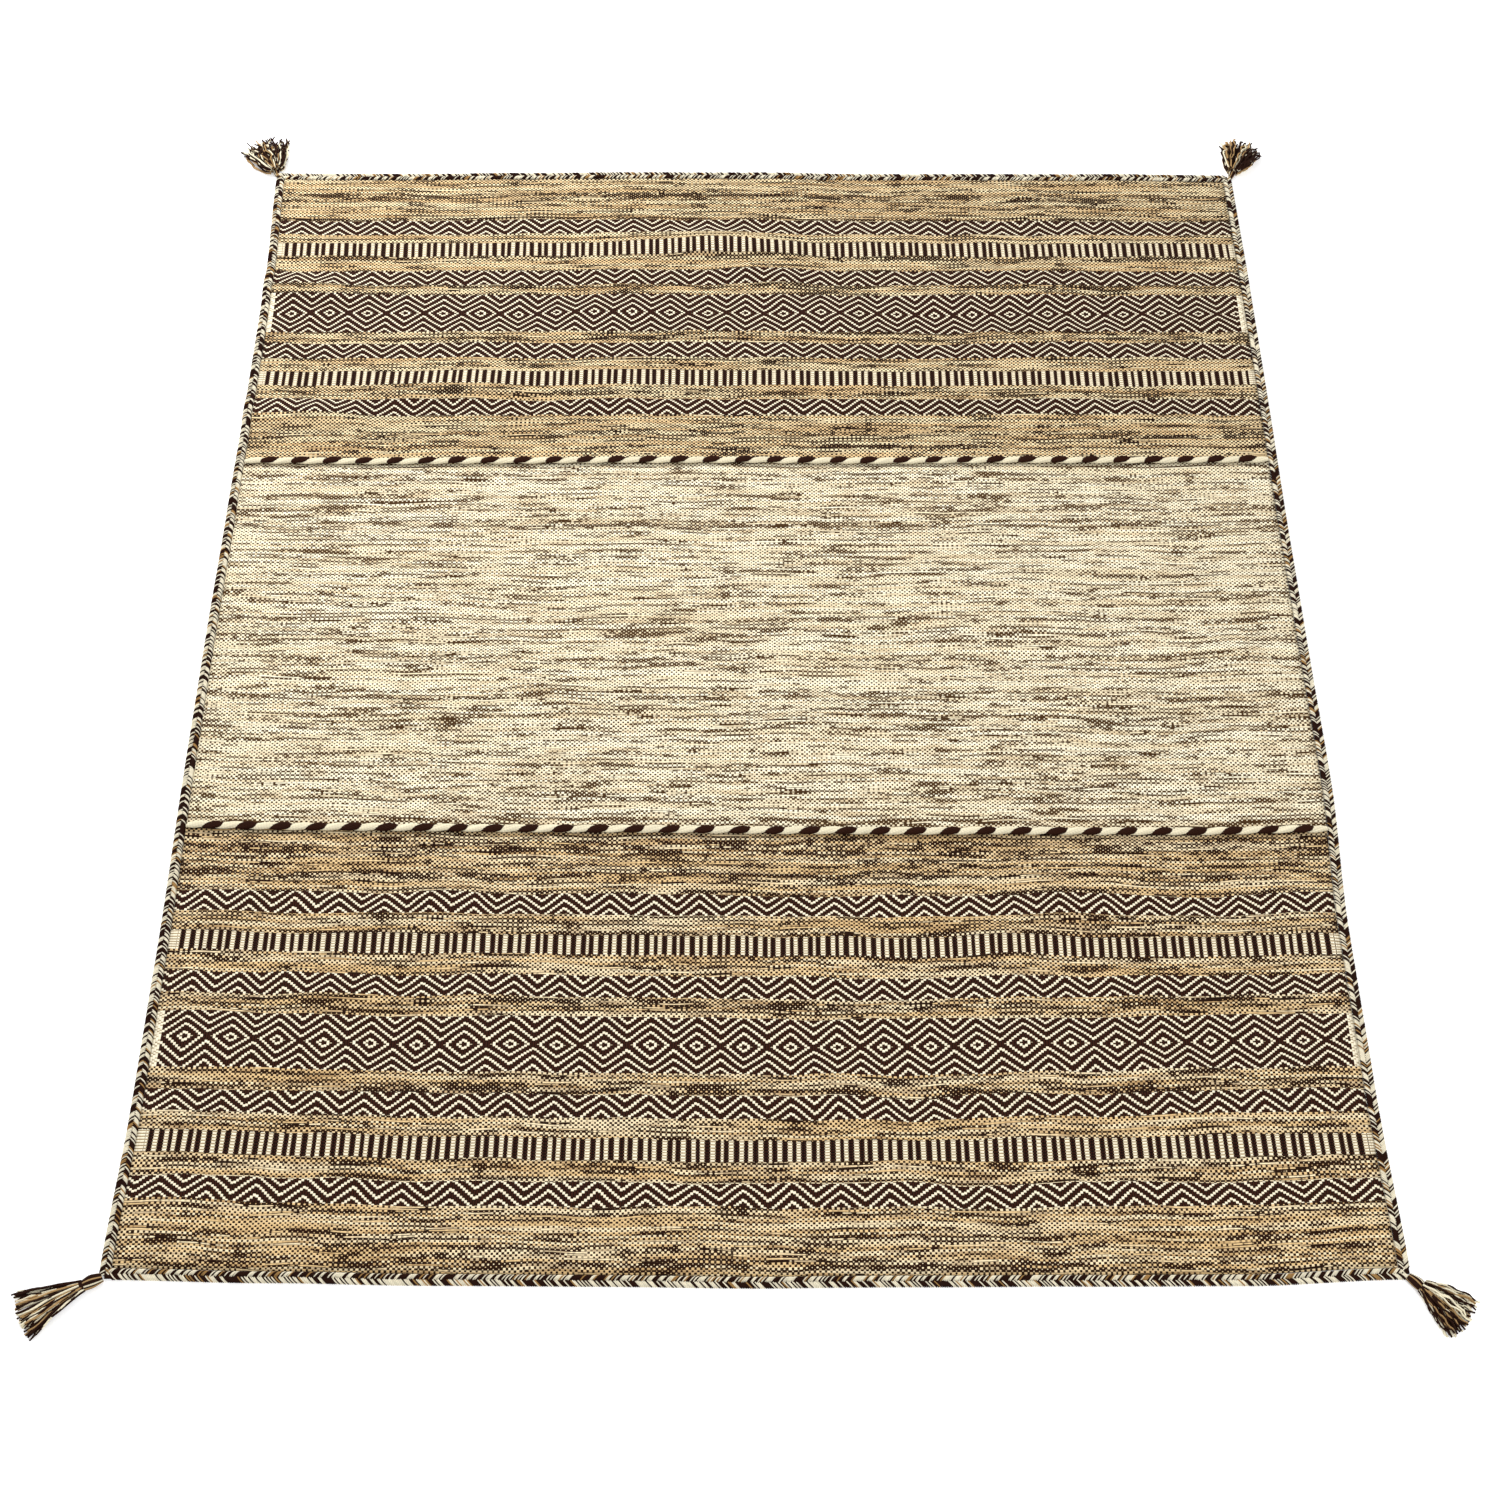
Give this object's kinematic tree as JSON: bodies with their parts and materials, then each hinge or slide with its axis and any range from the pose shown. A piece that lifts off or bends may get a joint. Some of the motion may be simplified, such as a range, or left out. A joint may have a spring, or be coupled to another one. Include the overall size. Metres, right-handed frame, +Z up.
{
  "type": "kilim rug",
  "caption": "Flat-woven cotton kilim rug lying on the floor, with a cream field, banded tan end panels, a plaited edge, twined cords and corner tassels.",
  "frame": {"origin": "middle of the rug's underside, where it rests on the floor", "axes": "+Z up, +Y along the warp from the near end to the far end, +X along the weft to the right"},
  "size_m": [1.9043, 2.1887, 0.0163],
  "materials": {
    "cloth": "flat-woven cotton, cream field and tan end panels with dark brown and cream bands",
    "braid": "plaited cotton yarns in cream, tan and dark brown",
    "twine": "twined cotton cord, dark brown and cream grains in turn",
    "tassel": "loose cotton yarns in tan, cream and dark brown"
  },
  "bodies": {
    "root": {"rug_cloth": "cloth", "braid_near": "braid", "braid_far": "braid", "braid_left": "braid", "braid_right": "braid", "twine_near": "twine", "twine_far": "twine", "tassel_near_left": "tassel", "tassel_near_right": "tassel", "tassel_far_left": "tassel", "tassel_far_right": "tassel"}
  },
  "joints": []
}
